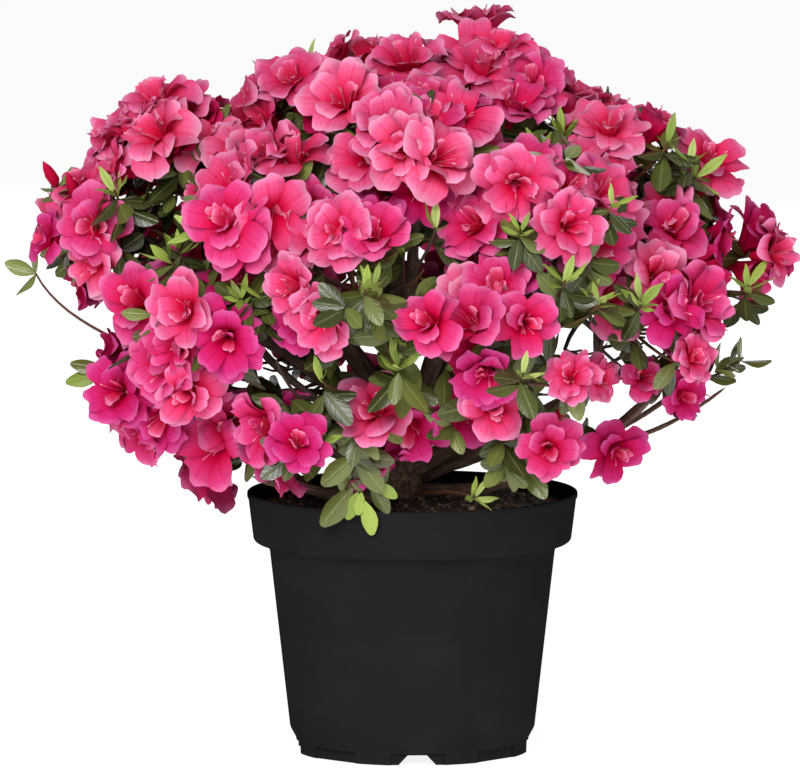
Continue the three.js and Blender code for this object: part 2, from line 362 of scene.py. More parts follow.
def makePot(plan):
    inner = plan["rim"] - plan["wall"] - 0.6
    band = plan["height"] - plan["bandDrop"]
    # radius, height, and how far its corner is rounded
    profile = [
        (0, plan["floor"], 0), (plan["footInner"], plan["floor"], 0.6),
        (plan["footInner"], 0, 0.5), (plan["foot"] - 0.2, 0, 0.6),
        (plan["foot"], plan["footHeight"], 0.25), (plan["bodyFoot"], plan["bodyFootHeight"], 1.2),
        (plan["bodyTop"], band - 5, 1.5), (plan["bodyTop"] + 2, band - 2.6, 1.6),
        (plan["bandFoot"], band, 1.6), (plan["rim"] - 0.7, plan["height"] - 3.8, 0.35),
        (plan["rim"], plan["height"] - 3.0, 0.35), (plan["rim"], plan["height"], 0.8),
        (inner, plan["height"], 0.8), (inner - 2.4, band + 2, 1.5),
        (plan["bodyTop"] - plan["wall"], band - 5, 1.5),
        (plan["bodyFoot"] - plan["wall"], plan["bodyFootHeight"], 2),
        (plan["bodyFoot"] - plan["wall"] - 4, plan["floor"] + plan["floorThickness"], 2),
        (0, plan["floor"] + plan["floorThickness"], 0)]
    bm = spun([row[:2] for row in profile], plan["turns"])
    for radius, height, softness in profile:
        if softness:
            ring = [edge for edge in bm.edges if all(
                abs(vertex.co.z - height) < 0.01 and
                abs(math.hypot(vertex.co.x, vertex.co.y) - radius) < 0.01 for vertex in edge.verts)]
            bmesh.ops.bevel(bm, geom=ring, offset=softness, offset_type="OFFSET", segments=3,
                            profile=0.5, affect="EDGES", material=-1, clamp_overlap=True)
    bmesh.ops.recalc_face_normals(bm, faces=bm.faces)
    whole = bpy.data.objects.new("potWhole", meshFrom(bm, "potWhole"))
    cutter = cutterMesh(plan)
    for piece in (whole, cutter):
        bpy.context.scene.collection.objects.link(piece)
    cut = whole.modifiers.new("notches", "BOOLEAN")
    cut.object = cutter
    cut.operation = "DIFFERENCE"
    cut.solver = "EXACT"
    cut.use_self = True
    bpy.context.view_layer.update()
    ready = whole.evaluated_get(bpy.context.evaluated_depsgraph_get())
    shell = bpy.data.meshes.new_from_object(ready)
    bpy.data.objects.remove(cutter)
    bpy.data.objects.remove(whole)
    shell.name = "potShell"
    shell.shade_smooth()
    shell.set_sharp_from_angle(angle=math.radians(35))
    shell.materials.clear()
    shell.materials.append(plasticFinish())
    return place(bpy.data.objects.new("potShell", shell), "pot", ["pot"])


makePot(potPlan)
print("pot made")


soilPlan = dict(edge=90.4, edgeHeight=139.3, crown=36.0, crownHeight=147.3, rings=44, turns=120,
                crumbs=1700, fibres=520, seed=5)


def soilHeight(x, y):
    # the compost's surface, in millimetres, with its lumps
    plan = soilPlan
    reach = math.hypot(x, y)
    slope = max(0.0, (reach - plan["crown"]) / (plan["edge"] - plan["crown"]))
    base = plan["crownHeight"] + (plan["edgeHeight"] - plan["crownHeight"]) * slope
    lumps = noise.noise((x * 0.05, y * 0.05, 1)) * 1.6 + abs(noise.noise((x * 0.17, y * 0.17, 4))) * 2.2
    fine = noise.noise((x * 0.55, y * 0.55, 9)) * 0.7
    return base + 0.9 + max(-0.7, lumps + fine)


def compostFinish():
    finish = Finish("moistCompost")
    spot = finish.add("TexCoord", output=3)
    lumps = finish.grain(spot, 420.0, 6.0, 0.7)
    patches = finish.grain(spot, 60.0, 3.0)
    color = finish.ramp(lumps, [(0.25, tone(24, 14, 10)), (0.5, tone(50, 34, 26)),
                                (0.66, tone(76, 55, 42)), (0.8, tone(108, 82, 66))])
    color = finish.blend(finish.between(patches, 0.4, 0.65) * 0.5, color, tone(36, 24, 18))
    return finish.finishWith(color, 0.92, lumps, 0.0015)


crumbTints = tones((38, 24, 18), (56, 38, 28), (78, 55, 42), (112, 84, 64), (146, 118, 94), (90, 72, 60))


def makeSoil(plan):
    rings = plan["rings"]
    bm = spun([(plan["edge"] * ring / rings, 0) for ring in range(rings + 1)], plan["turns"])
    for vertex in bm.verts:
        vertex.co.z = soilHeight(vertex.co.x, vertex.co.y)
    bmesh.ops.recalc_face_normals(bm, faces=bm.faces)
    mesh = meshFrom(bm, "soilBed")
    if mesh.polygons[0].normal.z < 0:
        mesh.flip_normals()
    mesh.shade_smooth()
    finish = compostFinish()
    mesh.materials.append(finish)
    place(bpy.data.objects.new("soilBed", mesh), "soil")
    below = cadNodes["soil"].data
    below.materials.clear()
    below.materials.append(finish)
    draw = random.Random(plan["seed"])
    bm = bmesh.new()
    bmesh.ops.create_icosphere(bm, subdivisions=1, radius=1)
    lump = shapeArrays(bm, {vertex: (0.5, 0.5) for vertex in bm.verts})
    crumbs = Heap(len(crumbTints))
    for index in range(plan["crumbs"]):
        reach = plan["edge"] * 0.985 * math.sqrt(draw.random())
        turn = draw.uniform(0, 2 * math.pi)
        x, y = reach * math.cos(turn), reach * math.sin(turn)
        size = draw.uniform(0.5, 1.3) * (1.9 if draw.random() < 0.12 else 1)
        spot = Vector((x, y, soilHeight(x, y) + size * 0.2)) * mm
        shape = Matrix.Diagonal((size * draw.uniform(0.7, 1.6), size * draw.uniform(0.6, 1.1),
                                 size * draw.uniform(0.4, 0.8), 1))
        matrix = aimed((draw.uniform(-0.4, 0.4), draw.uniform(-0.4, 0.4), 1),
                       draw.uniform(0, fullTurn), mm, spot) @ shape
        crumbs.put(lump, matrix, draw.choice([0, 0, 0, 1, 1, 2, 2, 3, 4, 5]))
    finish, color, across, along = swatched("compostBits", crumbTints)
    bits = finish.finishWith(color, 0.9)
    crumbs.joined("compostCrumbs", bits, "soil")
    rod = openRod(3, 3)
    fibres = Heap(len(crumbTints))
    for index in range(plan["fibres"]):
        reach = plan["edge"] * 0.95 * math.sqrt(draw.random())
        turn, heading = draw.uniform(0, fullTurn), draw.uniform(0, fullTurn)
        x, y, length = reach * math.cos(turn), reach * math.sin(turn), draw.uniform(2, 8)
        start = Vector((x, y, soilHeight(x, y) + 0.1))
        end = start + Vector((math.cos(heading) * length, math.sin(heading) * length,
                              draw.uniform(-0.3, 1.6)))
        if math.hypot(end.x, end.y) > plan["edge"] * 0.98:
            continue
        middle = (start + end) / 2 + Vector((draw.uniform(-1, 1), draw.uniform(-1, 1), 1.0))
        width = draw.uniform(0.12, 0.34)
        fibres.putBent(rod, bentPath([start * mm, middle * mm, end * mm], 4),
                       [width * mm, width * mm, width * 0.3 * mm], draw.choice([1, 2, 3, 3, 4, 5]))
    fibres.joined("compostFibres", bits, "soil")


makeSoil(soilPlan)
print("compost made")


crownPlan = dict(seed=11, core=Vector((0.0, 0.0, 0.262)), directions=7000, lowest=-46.0, bridge=13.0,
                 bridgeBelow=0.80, bridgeShare=0.88, floorHeight=0.158, bloomSpacing=0.0255,
                 innerSpacing=0.046, leafSpacing=0.0175, bloomSink=0.027, heroSink=0.022, leafSink=0.025,
                 bloomSeed=47, leafSeed=53, openSpacing=0.86, bloomClear=0.017, leafClear=0.008,
                 innerClear=0.014, lowestBloom=0.170, lowestInner=0.175, bloomSizes=(0.84, 1.08),
                 smallSizes=(0.62, 0.86), heroForms=(4, 7, 8, 9, 11), innerDepths=(0.034, 0.058),
                 openShare=0.55, whorlReach=0.017, whorlLift=3.0, lowestWhorl=200)

# openings right through the crown: x and z of the middle, seen square on, and the radius, in millimetres
skyGaps = [(3, 281, 11), (-5, 268, 7), (-42, 273, 9), (-32, 224, 10), (-80, 222, 10), (10, 221, 8),
           (100, 237, 13), (117, 198, 15), (139, 240, 10), (145, 191, 10), (80, 206, 8), (93, 173, 8),
           (-68, 209, 8), (-57, 208, 8), (-101, 209, 6), (37, 181, 6), (-46, 170, 7)]
# places at the front where greenery shows between the blooms: x, z and radius
greenPatches = [(-133, 304, 15), (-102, 310, 14), (-125, 285, 12), (-96, 258, 16), (-85, 237, 12),
                (-39, 255, 17), (-53, 217, 14), (24, 310, 13), (85, 353, 14), (108, 327, 13), (73, 298, 10),
                (99, 269, 15), (116, 249, 14), (165, 327, 12), (191, 266, 12), (-182, 321, 10),
                (68, 234, 10), (-4, 211, 10), (-136, 179, 9), (-150, 244, 10), (140, 258, 12),
                (75, 262, 12), (131, 345, 10)]
# the largest front blooms: x and z seen square on, size, tint, and which way they look
heroBlooms = [(-145, 362, 1.12, 0, (-0.4, -0.6, 0.6)), (-93, 342, 1.10, 0, (0.2, -0.9, 0.3)),
              (-39, 377, 1.05, 0, (-0.1, -0.7, 0.6)), (-6, 344, 1.10, 0, (-0.5, -0.8, 0.3)),
              (17, 340, 1.15, 0, (0.3, -0.9, 0.3)), (65, 324, 1.08, 1, (0.0, -1.0, 0.1)),
              (116, 368, 1.05, 0, (0.1, -0.6, 0.8)), (4, 246, 0.95, 2, (-0.2, -1.0, 0.3)),
              (-128, 206, 0.90, 1, (-0.2, -1.0, 0.1)), (-103, 185, 0.88, 2, (0.2, -1.0, -0.1)),
              (-65, 179, 0.82, 3, (0.1, -1.0, 0.1)), (-21, 197, 1.05, 1, (-0.1, -0.9, 0.4)),
              (50, 197, 0.95, 1, (0.2, -1.0, 0.2)), (79, 174, 0.82, 2, (0.0, -1.0, 0.0)),
              (88, 220, 0.72, 1, (0.0, -0.9, 0.4)), (108, 213, 0.66, 1, (0.3, -0.9, 0.1)),
              (-172, 205, 0.92, 3, (-0.5, -0.8, -0.1)), (-188, 304, 0.98, 2, (-0.4, -0.9, 0.2)),
              (-162, 261, 1.00, 2, (-0.5, -0.8, 0.1)), (145, 275, 0.95, 0, (0.2, -0.9, 0.3)),
              (205, 290, 0.90, 1, (0.9, -0.3, 0.3)), (145, 307, 0.92, 2, (0.2, -0.8, 0.5)),
              (160, 205, 0.66, 3, (0.6, -0.8, 0.0)), (133, 217, 0.58, 2, (0.2, -0.9, 0.2)),
              (118, 170, 0.84, 3, (0.4, -0.9, -0.2)), (163, 230, 0.70, 1, (0.7, -0.6, 0.2)),
              (44, 398, 1.05, 1, (0.3, -0.5, 0.9)), (-72, 396, 1.02, 1, (-0.3, -0.6, 0.8)),
              (-2, 402, 0.98, 1, (0.0, -0.6, 0.9)), (172, 345, 0.95, 1, (0.5, -0.6, 0.6)),
              (-212, 300, 0.74, 3, (-0.9, -0.5, 0.2)), (-181, 343, 0.88, 2, (-0.6, -0.5, 0.6))]
# how high the crown reaches from left to right: x and z seen square on
crestLine = [(-200, 335), (-175, 374), (-148, 390), (-120, 377), (-88, 399), (-60, 414), (-10, 419),
             (46, 431), (68, 408), (102, 386), (160, 370), (176, 363), (190, 348), (215, 305)]
# low at the front the compost shows: x, z and radius
clearings = [(12, 158, 20), (40, 160, 20), (-12, 150, 14), (-75, 150, 20)]
viewTilt = math.radians(7.1)
# sites with a smaller Y than this are on the front side
frontSide = 0.02


def seenFlat(spot):
    # a point's place as it is seen square on from the front, a little from above
    return spot.x, spot.z + spot.y * math.tan(viewTilt)


def aboveCrest(spot):
    # how far a point stands over the crown's line, below zero inside it
    x, z = seenFlat(spot)
    reaches, heights = np.array(crestLine).T * mm
    return z - float(np.interp(x, reaches, heights))


def seenGap(spot, x, z):
    seen = seenFlat(spot)
    return math.hypot(seen[0] - x * mm, seen[1] - z * mm)


def inGap(spot, spare):
    return any(seenGap(spot, x, z) < radius * mm + spare for x, z, radius in skyGaps)


def inClearing(spot):
    return spot.y < 0.03 and any(seenGap(spot, x, z) < radius * mm for x, z, radius in clearings)


def inPatch(spot):
    return spot.y <= frontSide and any(seenGap(spot, x, z) < radius * mm for x, z, radius in greenPatches)


# a place for a bloom or a rosette; the last three are for the blooms that are placed one by one
Site = namedtuple("Site", "spot normal owner size tint axis", defaults=(1, 0, None))


def pickSites(plan):
    # the crown's outer face, seen from its core: hollows between masses are bridged a little inside
    corners = []
    for name in massNames:
        mesh = cadNodes[name].data
        mesh.calc_loop_triangles()
        corners += [tuple(mesh.vertices[at].co) for triangle in mesh.loop_triangles
                    for at in triangle.vertices]
    tree = BVHTree.FromPolygons(corners, [(at, at + 1, at + 2) for at in range(0, len(corners), 3)])
    centres = {name: sum(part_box(name), Vector()) / 2 for name in massNames}
    count = plan["directions"]
    steps = np.arange(count) + 0.5
    heights = 1 - 2 * steps / count
    turns = steps * math.pi * (3 - math.sqrt(5))
    level = np.sqrt(1 - heights ** 2)
    rays = np.stack([np.cos(turns) * level, np.sin(turns) * level, heights], axis=1)
    rays = rays[heights > math.sin(math.radians(plan["lowest"]))]
    reach = np.zeros(len(rays))
    hitNormals = np.array(rays)
    for index, ray in enumerate(rays):
        heading = Vector(ray)
        hit, normal, face, far = tree.ray_cast(plan["core"] + heading * 0.5, -heading)
        if hit is not None and (hit - plan["core"]).dot(heading) > 0.04:
            reach[index] = (hit - plan["core"]).length
            hitNormals[index] = normal if normal.dot(heading) > 0 else -normal
    near = rays @ rays.T > math.cos(math.radians(plan["bridge"]))
    found = reach > 0
    totals = near @ reach
    counts = near @ found.astype(float)
    around = totals / np.maximum(counts, 1)
    hollow = (counts > 2) & (reach < around * plan["bridgeBelow"])
    reach = np.where(hollow, around * plan["bridgeShare"], reach)
    sites = []
    for ray, far, normal in zip(rays, reach, hitNormals):
        heading = Vector(ray)
        spot = plan["core"] + heading * far
        overStem = math.hypot(spot.x, spot.y) < 0.07 and spot.z < 0.25
        if far < 0.05 or spot.z < plan["floorHeight"] or overStem:
            continue
        owner = min(centres, key=lambda name: (centres[name] - spot).length)
        sites.append(Site(spot, (Vector(normal) * 0.5 + heading * 0.6).normalized(), owner))
    random.Random(plan["seed"]).shuffle(sites)
    return sites


def spread(sites, spacing, taken, keep):
    # takes sites in turn, leaving the spacing between them
    chosen = []
    for site in sites:
        if keep(site) and all((site.spot - other.spot).length > spacing(site)
                              for other in chosen + taken):
            chosen.append(site)
    return chosen


def pickHeroes(sites):
    # the front site that is seen nearest to each place
    front = [site for site in sites if site.spot.y < frontSide]
    return [min(front, key=lambda site: seenGap(site.spot, x, z) + site.spot.y * 0.02)._replace(
        size=size, tint=tint, axis=Vector(axis).normalized()) for x, z, size, tint, axis in heroBlooms]


sites = pickSites(crownPlan)
heroes = pickHeroes(sites)
openMasses = ("lower_right", "skirt_right")
bloomSites = spread(sites, lambda site: crownPlan["bloomSpacing"] *
                    (crownPlan["openSpacing"] if site.owner in openMasses else 1), heroes,
                    lambda site: not inGap(site.spot, crownPlan["bloomClear"]) and not inPatch(site.spot)
                    and not inClearing(site.spot) and site.spot.z > crownPlan["lowestBloom"])
leafSites = spread(sites, lambda site: crownPlan["leafSpacing"], heroes + bloomSites,
                   lambda site: not inGap(site.spot, crownPlan["leafClear"]) and not inClearing(site.spot))
innerSites = spread(sites, lambda site: crownPlan["innerSpacing"], [], lambda site: not inGap(
    site.spot, crownPlan["innerClear"]) and site.spot.z > crownPlan["lowestInner"])
print("sites:", len(sites), "blooms", len(bloomSites), "leaves", len(leafSites), "inner", len(innerSites))


# levels hold the heights that part the upper, middle and lower blooms, and the masses they replace
bloomPlan = dict(seed=23, forms=12, radius=24.5, tubeHeight=13.0, columns=12, outerLobes=5, petaloids=3,
                 mouth=1.3, throat=2.4, roundFrom=0.62, notchWidth=0.24, scallop=0.045, centres=5,
                 levels=(0.315, 0.236), massLevels=(0.27, 0.20), budTint=11, petaloidTint=10,
                 speckledFrom=5)
# five petal tints from light to deep; besides the blooms' own variety, picking among them by where a bloom
# stands paints light and shade on it
petalTints = tones((227, 98, 144), (222, 82, 134), (214, 60, 125), (203, 42, 117), (196, 14, 74))


def petalFinish():
    # columns 0 to 4 plain lobes, 5 to 9 the same with a speckled throat, 10 petaloid, 11 bud
    finish = Finish("pinkPetal")
    split, across, along = swatchPlace(finish, bloomPlan["columns"])
    tints = petalTints + petalTints + tones((230, 84, 132), (178, 8, 52))
    # the deep tints: partly the throat's own crimson, partly painted shade, since they cover the lower half
    # of each lobe where it mostly lies in shade
    throatAndShadeTints = tones((226, 20, 78), (220, 12, 72), (212, 4, 68), (200, 0, 72), (180, 0, 44))
    throatAndShadeTints = throatAndShadeTints + throatAndShadeTints + tones((226, 24, 78), (128, 0, 30))
    edges = tones((236, 162, 196), (233, 146, 188), (226, 116, 170), (214, 90, 158), (208, 38, 104))
    edges = edges + edges + tones((236, 150, 182), (198, 26, 74))
    middle = finish.ramp(split, columnStops(tints), "CONSTANT")
    throatAndShade = finish.ramp(split, columnStops(throatAndShadeTints), "CONSTANT")
    edge = finish.ramp(split, columnStops(edges), "CONSTANT")
    # deep at the lobe's base, partly throat colour and partly painted shade, to the middle tint further out
    color = finish.blend(finish.between(along, 0.33, 0.78), throatAndShade, middle)
    rim = finish.between(along, 0.74, 1.0)
    color = finish.blend(rim * 0.85, color, edge)
    side = (across - 0.5).apply("ABSOLUTE")
    veins = (side * (74.0 - along * 26.0)).apply("SINE")
    veins = finish.between(veins, 0.2, 1.0) * finish.between(along, 0.36, 0.55) * (1 - rim)
    color = finish.blend(veins * 0.2, color, throatAndShade)
    rib = (1 - finish.between(side, 0.0, 0.05)) * finish.between(along, 0.3, 0.5) * (1 - rim)
    color = finish.blend(rib * 0.35, color, throatAndShade)
    speckled = finish.between(split, 0.4166, 0.4167) - finish.between(split, 0.8332, 0.8333)
    grid = finish.add("CombineXYZ", None, {0: across * 9.0, 1: along * 16.0, 2: 0.0})
    cells = finish.add("TexVoronoi", None, {"Vector": grid, "Scale": 1.0, "Randomness": 0.8})
    dots = (1 - finish.between(cells, 0.16, 0.30)) * (1 - finish.between(side, 0.14, 0.30))
    dots = dots * finish.between(along, 0.38, 0.48) * (1 - finish.between(along, 0.66, 0.82))
    color = finish.blend(dots * speckled * 0.9, color, tone(132, 8, 52))
    return finish.finishWith(color, 0.6, **{"Specular IOR Level": 0.04})


def lobeShape(draw, plan, reach, half, opening, ruffle, grid):
    # one lobe of a funnel: a round, frilled outline cut flat, then bent up the tube and out
    waves, phase = draw.choice([2, 3, 3, 4]), draw.uniform(0, fullTurn)
    lean, curl, notch = draw.uniform(-0.24, 0.24), draw.uniform(-0.35, 0.60), draw.uniform(0.0, 0.17)
    tall = plan["tubeHeight"]
    path = bentPath([(plan["mouth"], 0, 0), (plan["throat"], 0, tall * 0.9),
                     (reach * 0.32, 0, tall * (1.75 - 0.5 * opening)),
                     (reach * 0.72, 0, tall * (1.95 - 0.62 * opening)),
                     (reach, 0, tall * (2.0 - 1.05 * opening))], 24)
    gone = np.concatenate([[0], np.cumsum(np.linalg.norm(np.diff(path, axis=0), axis=1))])
    neck = gone[-1] - half
    roundFrom = plan["roundFrom"]

    def shape(side, share):
        grown = min(1.0, share / roundFrom)
        swell = grown * grown * (3 - 2 * grown)
        end = max(0.0, (share - roundFrom) / (1 - roundFrom))
        # the square end of the grid is drawn onto a half disc
        disc = Vector((side * math.sqrt(1 - end * end / 2), end * math.sqrt(1 - side * side / 2)))
        rim, angle = disc.length, math.atan2(disc.y, disc.x)
        frill = plan["scallop"] * math.sin(angle * (2 * waves + 1) + phase) * rim ** 4
        blunt = 1 + 0.10 * math.sin(2 * angle) ** 2 * rim ** 2 + frill
        blunt -= notch * math.exp(-((angle - math.pi / 2) / plan["notchWidth"]) ** 2) * rim ** 3
        across = disc.x * (1.7 * (1 - swell) + half * swell) * (blunt if end else 1)
        along = neck * grown + half * disc.y * blunt
        spot = [np.interp(along, gone, path[:, axis]) for axis in (0, 2)]
        ahead = [np.interp(along + 0.6, gone, path[:, axis]) for axis in (0, 2)]
        behind = [np.interp(along - 0.6, gone, path[:, axis]) for axis in (0, 2)]
        heading = Vector((ahead[0] - behind[0], ahead[1] - behind[1])).normalized()
        edge = rim ** 3 if end else abs(side) ** 3 * grown ** 2
        raised = ruffle * math.sin(angle * waves + phase) * edge
        raised += curl * across * across / half * 0.6 * grown - 0.7 * math.exp(-(side / 0.2) ** 2) * grown
        over = max(0.0, along - gone[-1])
        return Vector((spot[0] + heading.x * over - heading.y * raised, across + lean * along * grown * 0.4,
                       spot[1] + heading.y * over + heading.x * raised))
    return shapedGrid(grid[0], grid[1], shape)


def bloomForm(draw, plan, opening, kind):
    # one bloom as a list of shapes and the kind of each
    parts = []
    radius = plan["radius"]
    for index in range(plan["outerLobes"]):
        lobe = lobeShape(draw, plan, radius * draw.uniform(0.87, 1.10), radius * draw.uniform(0.36, 0.45),
                         opening * draw.uniform(0.72, 1.18), draw.uniform(1.6, 3.7), (8, 9))
        turn = index * 72 + draw.uniform(-13, 13)
        parts.append((lobe, Matrix.Rotation(math.radians(turn), 4, "Z") @
                      Matrix.Translation((0, 0, (index % 2) * 0.7)), "speckled" if index == 0 else "lobe"))
    inner = draw.choice([3, 4, 5]) if kind == "double" else 0
    for index in range(inner):
        lobe = lobeShape(draw, plan, radius * draw.uniform(0.58, 0.92), radius * draw.uniform(0.28, 0.38),
                         opening * draw.uniform(0.12, 0.90), draw.uniform(1.4, 3.0), (6, 7))
        turn = 36 + index * 360 / inner + draw.uniform(-20, 20)
        parts.append((lobe, Matrix.Rotation(math.radians(turn), 4, "Z") @
                      Matrix.Translation((0, 0, 0.8)), "speckled" if index == 1 else "lobe"))
    for index in range(plan["petaloids"] if kind == "double" else 0):
        lobe = lobeShape(draw, plan, radius * draw.uniform(0.22, 0.42), radius * draw.uniform(0.12, 0.20),
                         draw.uniform(-0.1, 0.3), draw.uniform(0.8, 1.6), (4, 5))
        parts.append((lobe, Matrix.Rotation(draw.uniform(0, fullTurn), 4, "Z"),
                      "petaloid" if draw.random() < 0.4 else "lobe"))
    return parts


def pistilForm(draw):
    # the long pistil and a few stamens, as rods with their tints
    rods = []
    bend = draw.uniform(-3, 3)
    rods.append(([(0, 0, 6), (bend, 1, 14), (bend * 1.4, 2, 22), (bend * 2.2, 5, 28)],
                 [0.30, 0.24, 0.22, 0.22, 0.56, 0.42], 0))
    for index in range(draw.choice([3, 4, 5, 6])):
        turn = draw.uniform(0, fullTurn)
        far = draw.uniform(3, 8)
        top = draw.uniform(17, 23)
        ahead, aside = math.cos(turn), math.sin(turn)
        rods.append(([(ahead, aside, 6), (ahead * far * 0.5, aside * far * 0.5, 16),
                      (ahead * far, aside * far, top)], [0.22, 0.19, 0.18, 0.20, 0.50, 0.36], 1))
    return rods


def centreFinish():
    finish = Finish("pistilAndStamens")
    split, across, along = swatchPlace(finish, 2)
    stalk = finish.ramp(split, columnStops(tones((230, 80, 128), (236, 112, 150))), "CONSTANT")
    tip = finish.ramp(split, columnStops(tones((246, 176, 190), (228, 140, 150))), "CONSTANT")
    color = finish.blend(finish.between(along, 0.86, 0.92), stalk, tip)
    return finish.finishWith(color, 0.45)


def flatten(form):
    # a bloom's parts as arrays for each kind, so that a copy is one step
    ready = {}
    for (points, faces, spots), matrix, kind in form:
        points = points @ np.array(matrix.to_3x3()).T + np.array(matrix.translation)
        part = (points, faces, spots)
        if kind in ready:
            before = ready[kind]
            part = [np.concatenate(pair) for pair in zip(before, (points, faces + len(before[0]), spots))]
        ready[kind] = part
    return ready


def paintedLightTint(draw, spot):
    # painted light and shade: warm, light tints on top and at the front left, where the key lamp shines;
    # cool, deep ones low down and at the right
    light = (spot.z - 0.15) / 0.28 * 1.1 - spot.x * 1.2 - spot.y * 1.0 + draw.gauss(0, 0.42)
    return min(3, max(0, int(3.1 - light * 1.7)))


class Blooms:
    def __init__(self, plan):
        self.plan = plan
        draw = random.Random(plan["seed"])
        self.forms = [flatten(bloomForm(draw, plan, 0.35 + 0.75 * index / (plan["forms"] - 1),
                                        "single" if index % 4 == 2 else "double"))
                      for index in range(plan["forms"])]
        self.rod = openRod(4, 7)
        self.centres = [pistilForm(draw) for index in range(plan["centres"])]
        self.petals = [Heap(plan["columns"]) for level in range(3)]
        self.middle = Heap(2)

    def put(self, draw, foot, axis, size, tint, form=None):
        form = draw.randrange(len(self.forms)) if form is None else form
        uneven = Matrix.Diagonal((draw.uniform(0.9, 1.08), draw.uniform(0.9, 1.08),
                                  draw.uniform(0.85, 1.15), 1))
        matrix = aimed(axis, draw.uniform(0, fullTurn), size * mm, foot) @ uneven
        plan = self.plan
        heap = self.petals[sum(foot.z <= height for height in plan["levels"])]
        columns = dict(lobe=tint, speckled=tint + plan["speckledFrom"], petaloid=plan["petaloidTint"])
        for kind, shape in self.forms[form].items():
            column = columns[kind]
            heap.put(shape, matrix, column)
        for path, radii, column in draw.choice(self.centres):
            points = [matrix @ Vector(point) for point in path]
            self.middle.putBent(self.rod, bentPath(points, 5), [radius * mm * size for radius in radii],
                                column)


blooms = Blooms(bloomPlan)


leafPlan = dict(seed=31, length=23.0, width=11.0, columns=8, widest=0.55, broadTip=0.14, narrowTip=0.40,
                narrowLength=0.95, narrowWidth=0.55, broadForms=8, narrowForms=6, firstYoung=5,
                splitHeight=0.26)
leafTints = tones((62, 68, 33), (82, 90, 41), (104, 113, 53), (130, 139, 72), (90, 84, 54), (134, 158, 58),
                  (158, 182, 74), (182, 200, 106))


def leafFinish(name, roughness):
    finish, color, across, along = swatched(name, leafTints)
    side = (across - 0.5).apply("ABSOLUTE")
    rib = 1 - finish.between(side, 0.0, 0.07)
    pale = finish.blend(0.55, color, tone(176, 184, 110))
    color = finish.blend(rib * 0.40, color, pale)
    slant = ((along * 34.0) - (side * 26.0)).apply("SINE")
    color = finish.blend(finish.between(slant, 0.75, 1.0) * (1 - rib) * 0.05, color, pale)
    color = finish.blend(finish.between(side, 0.32, 0.5) * 0.20, color, tone(34, 36, 16))
    height = finish.between(slant, 0.3, 1.0) * -0.3 - rib
    return finish.finishWith(color, roughness, height, 0.00025, **{"Specular IOR Level": 0.6})


def leafForm(draw, length, width, narrow):
    fold, curve, twist = draw.uniform(0.2, 1.0), draw.uniform(-0.1, 0.55), draw.uniform(-0.3, 0.3)

    def shape(side, share):
        # obovate: a short stalk, widest past the middle, and a round end
        widest = leafPlan["widest"]
        grown, end = min(1.0, share / widest), max(0.0, (share - widest) / (1 - widest))
        tip = 1 - leafPlan["narrowTip" if narrow else "broadTip"] * end ** 2
        swell = 0.07 + 0.93 * (1 - (1 - grown) ** 1.8)
        across = width / 2 * swell * side * math.sqrt(1 - end * end / 2) * tip
        along = length * (0.54 * grown + 0.46 * end * math.sqrt(1 - side * side / 2))
        share = along / length
        drop = -curve * length * share ** 2 * 0.5
        lift = -across * across / width * fold - math.exp(-(side / 0.3) ** 2) * 0.55 * grown
        return Vector((across, along * (1 - 0.06 * curve), drop + lift + twist * share * across))
    return shapedGrid(4, 5, shape)


class Leaves:
    def __init__(self, plan):
        self.plan = plan
        draw = random.Random(plan["seed"])
        length, width = plan["length"], plan["width"]
        self.broad = [leafForm(draw, length, width, False) for index in range(plan["broadForms"])]
        self.narrow = [leafForm(draw, length * plan["narrowLength"], width * plan["narrowWidth"], True)
                       for index in range(plan["narrowForms"])]
        self.old = [Heap(plan["columns"]), Heap(plan["columns"])]
        self.young = Heap(plan["columns"])
        self.keepClear = np.zeros((0, 4))

    def hitsBloom(self, foot, heading, length):
        # true where a leaf's middle or tip would stand inside an open bloom
        for share in (0.5, 1.0):
            gaps = np.linalg.norm(self.keepClear[:, :3] - np.array(foot + heading * length * share), axis=1)
            if (gaps < self.keepClear[:, 3]).any():
                return True
        return False

    def clearance(self, spot):
        # how far a place is from the nearest open bloom's mouth
        return float(np.linalg.norm(self.keepClear[:, :3] - np.array(spot), axis=1).min())

    def closesGap(self, foot, heading, length):
        if aboveCrest(foot + heading * length) > 0.004:
            return True
        return any(inGap(foot + heading * length * share, 0.001) for share in (0.35, 0.7, 1.0))

    def putLeaf(self, draw, foot, axis, turn, lean, size, column, narrow=False):
        # a leaf round a twig: turn is its place round the axis, lean its angle away from it
        stand = Vector(axis).to_track_quat("Z", "Y").to_matrix().to_4x4()
        matrix = (Matrix.Translation(foot) @ stand @ Matrix.Rotation(turn, 4, "Z") @
                  Matrix.Rotation(math.pi / 2 - lean, 4, "X") @
                  Matrix.Rotation(draw.uniform(-0.25, 0.25), 4, "Y") @ Matrix.Scale(size * mm, 4))
        heading = matrix.to_3x3() @ Vector((0, 1, 0)) / (size * mm)
        length = self.plan["length"] * size * mm
        if self.hitsBloom(Vector(foot), heading, length) or self.closesGap(Vector(foot), heading, length):
            return
        heap = self.young if column >= self.plan["firstYoung"] else self.old[
            foot[2] <= self.plan["splitHeight"]]
        heap.put(draw.choice(self.narrow if narrow else self.broad), matrix, column)

    def putRosette(self, draw, foot, axis, count, size, columns, lean=(1.05, 1.55), narrow=False):
        first = draw.uniform(0, fullTurn)
        for index in range(count):
            turn = first + index * 2.4
            at = Vector(foot) - Vector(axis) * (index * 1.1 * mm)
            angle = draw.uniform(*lean) + index * 0.02
            self.putLeaf(draw, at, axis, turn, angle, size * draw.uniform(0.72, 1.12),
                         draw.choice(columns), narrow)

    def putCalyx(self, draw, foot, axis, size):
        for index in range(5):
            self.putLeaf(draw, foot - axis * mm, axis, index * 1.257, 0.9, size * 0.22, 3, False)


